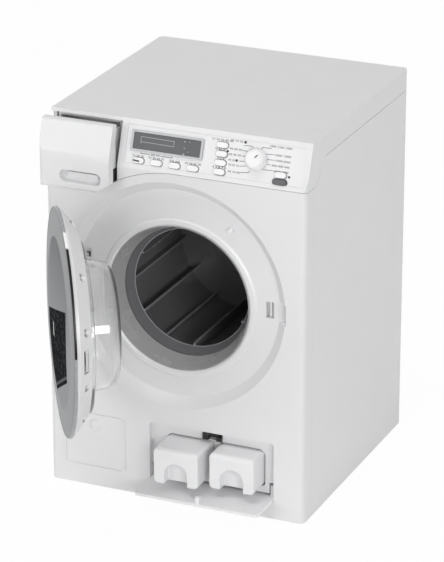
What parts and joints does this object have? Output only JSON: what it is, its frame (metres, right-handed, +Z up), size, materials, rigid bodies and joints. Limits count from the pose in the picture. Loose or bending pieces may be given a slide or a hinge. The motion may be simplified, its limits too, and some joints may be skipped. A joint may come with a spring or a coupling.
{
  "type": "toy washing machine",
  "caption": "Front-loading toy washing machine with an opening door, turning drum, detergent drawer, sprung keys, programme knob and dosing flap.",
  "frame": {"origin": "on the floor, under the middle of the cabinet (the open door, drawer and flap are left out of the middle)", "axes": "+X to the right as one faces the front, +Y to the back, +Z up; the front panel lies at y = -0.0902"},
  "size_m": [0.183, 0.3103, 0.26],
  "materials": {
    "casing_white": "satin white moulding",
    "console_white": "smooth white sheet",
    "key_white": "satin",
    "key_grey": "satin",
    "display_dark": "smooth dark grey",
    "bezel_silver": "silver-coloured",
    "board_green": "laminate with rubber switches",
    "trim_grey": "silver-grey, slightly metallic",
    "window_tint": "tinted clear plastic",
    "dome_clear": "clear plastic",
    "steel": "plated screws and pins",
    "inner_white": "plain moulding",
    "collar_grey": "satin grey",
    "drum_grey": "dark grey",
    "gear_white": "natural nylon",
    "bush_tan": "sliding plastic",
    "black_plastic": "black",
    "speaker_grey": "moulded frame and cone",
    "motor_metal": "drawn can",
    "cell_wrap": "plain cell wrap",
    "contact_metal": "plated spring contacts"
  },
  "bodies": {
    "casing": {"front_panel": "casing_white", "cabinet_shell": "casing_white", "top_cover": "casing_white", "base_plate": "inner_white", "casing_screws": "steel", "speaker": "speaker_grey", "console_label": "console_white", "display_bezel": "bezel_silver", "display_window": "display_dark", "control_board": "board_green", "drawer_housing": "inner_white", "hinge_pins": "steel", "hinge_bracket": "inner_white", "door_latch": "inner_white", "contact_switch": "black_plastic", "door_collar": "collar_grey", "drum_tub": "speaker_grey", "tub_screws": "steel", "axle_bush": "bush_tan", "motor": "motor_metal", "motor_bracket": "inner_white", "bracket_screws": "steel", "flap_catch": "black_plastic", "cartridge_housing": "inner_white", "battery_box": "speaker_grey", "battery_cells": "cell_wrap", "battery_contacts": "contact_metal", "battery_cover": "casing_white", "battery_screw": "steel"},
    "door": {"door_body": "casing_white", "door_trim_ring": "trim_grey", "door_window": "window_tint", "door_dome": "dome_clear", "door_screws": "steel", "door_hinge_arms": "casing_white"},
    "drum_set": {"drum": "drum_grey", "drum_axle": "steel", "drum_gear": "gear_white", "gear_clip": "steel"},
    "pinion": {"motor_pinion": "gear_white"},
    "drawer": {"drawer_front": "casing_white", "drawer_tray": "inner_white"},
    "flap": {"dosing_flap": "casing_white"},
    "left_cartridge": {"cartridge_left": "casing_white"},
    "right_cartridge": {"cartridge_right": "casing_white"},
    "knob": {"program_knob": "key_white"},
    "start_button": {"start_key": "key_white"},
    "door_button": {"door_key": "key_grey"},
    "contact_pin": {"door_contact_pin": "key_white"},
    "option_button_1": {"option_key_1": "key_white"},
    "option_button_2": {"option_key_2": "key_white"},
    "option_button_3": {"option_key_3": "key_white"},
    "option_button_4": {"option_key_4": "key_white"},
    "option_button_5": {"option_key_5": "key_white"},
    "option_button_6": {"option_key_6": "key_white"},
    "option_button_7": {"option_key_7": "key_white"},
    "option_button_8": {"option_key_8": "key_white"}
  },
  "joints": [
    {"name": "door_hinge", "type": "hinge", "parent": "casing", "child": "door", "pos_m": [-0.0766, -0.0856, 0.1458], "axis": [0, 0, 1], "range_deg": [-18, 56.6]},
    {"name": "drum_spin", "type": "hinge", "parent": "casing", "child": "drum_set", "pos_m": [0.0005, -0.0202, 0.1428], "axis": [0, -1, 0], "continuous": true},
    {"name": "pinion_spin", "type": "hinge", "parent": "casing", "child": "pinion", "pos_m": [0.0005, 0.0448, 0.1139], "axis": [0, -1, 0], "continuous": true},
    {"name": "drawer_slide", "type": "slide", "parent": "casing", "child": "drawer", "axis": [0, -1, 0], "range_m": [-0.0105, 0.02]},
    {"name": "flap_hinge", "type": "hinge", "parent": "casing", "child": "flap", "pos_m": [0.02575, -0.0829, 0.0197], "axis": [-1, 0, 0], "range_deg": [0, 10]},
    {"name": "left_cartridge_slide", "type": "slide", "parent": "casing", "child": "left_cartridge", "axis": [0, -1, 0], "range_m": [-0.024, 0.025]},
    {"name": "right_cartridge_slide", "type": "slide", "parent": "casing", "child": "right_cartridge", "axis": [0, -1, 0], "range_m": [-0.0176, 0.031]},
    {"name": "knob_turn", "type": "hinge", "parent": "casing", "child": "knob", "pos_m": [0.0547, -0.08549, 0.24647], "axis": [0, -0.9438, 0.3305], "continuous": true},
    {"name": "start_press", "type": "slide", "parent": "casing", "child": "start_button", "axis": [0, 0.9438, -0.3305], "range_m": [0, 0.0009], "stiffness_N_per_m": 150},
    {"name": "door_press", "type": "slide", "parent": "casing", "child": "door_button", "axis": [0, 0.9438, -0.3305], "range_m": [0, 0.0009], "stiffness_N_per_m": 150},
    {"name": "option_press_1", "type": "slide", "parent": "casing", "child": "option_button_1", "axis": [0, 0.9438, -0.3305], "range_m": [0, 0.0009], "stiffness_N_per_m": 150},
    {"name": "option_press_2", "type": "slide", "parent": "casing", "child": "option_button_2", "axis": [0, 0.9438, -0.3305], "range_m": [0, 0.0009], "stiffness_N_per_m": 150},
    {"name": "option_press_3", "type": "slide", "parent": "casing", "child": "option_button_3", "axis": [0, 0.9438, -0.3305], "range_m": [0, 0.0009], "stiffness_N_per_m": 150},
    {"name": "option_press_4", "type": "slide", "parent": "casing", "child": "option_button_4", "axis": [0, 0.9438, -0.3305], "range_m": [0, 0.0009], "stiffness_N_per_m": 150},
    {"name": "option_press_5", "type": "slide", "parent": "casing", "child": "option_button_5", "axis": [0, 0.9438, -0.3305], "range_m": [0, 0.0009], "stiffness_N_per_m": 150},
    {"name": "option_press_6", "type": "slide", "parent": "casing", "child": "option_button_6", "axis": [0, 0.9438, -0.3305], "range_m": [0, 0.0009], "stiffness_N_per_m": 150},
    {"name": "option_press_7", "type": "slide", "parent": "casing", "child": "option_button_7", "axis": [0, 0.9438, -0.3305], "range_m": [0, 0.0009], "stiffness_N_per_m": 150},
    {"name": "option_press_8", "type": "slide", "parent": "casing", "child": "option_button_8", "axis": [0, 0.9438, -0.3305], "range_m": [0, 0.0009], "stiffness_N_per_m": 150},
    {"name": "contact_press", "type": "slide", "parent": "casing", "child": "contact_pin", "axis": [0, 1, 0], "range_m": [0, 0.002], "stiffness_N_per_m": 150}
  ],
  "couplings": [
    {"joint": "pinion_spin", "follows": "drum_spin", "ratio": -5}
  ]
}
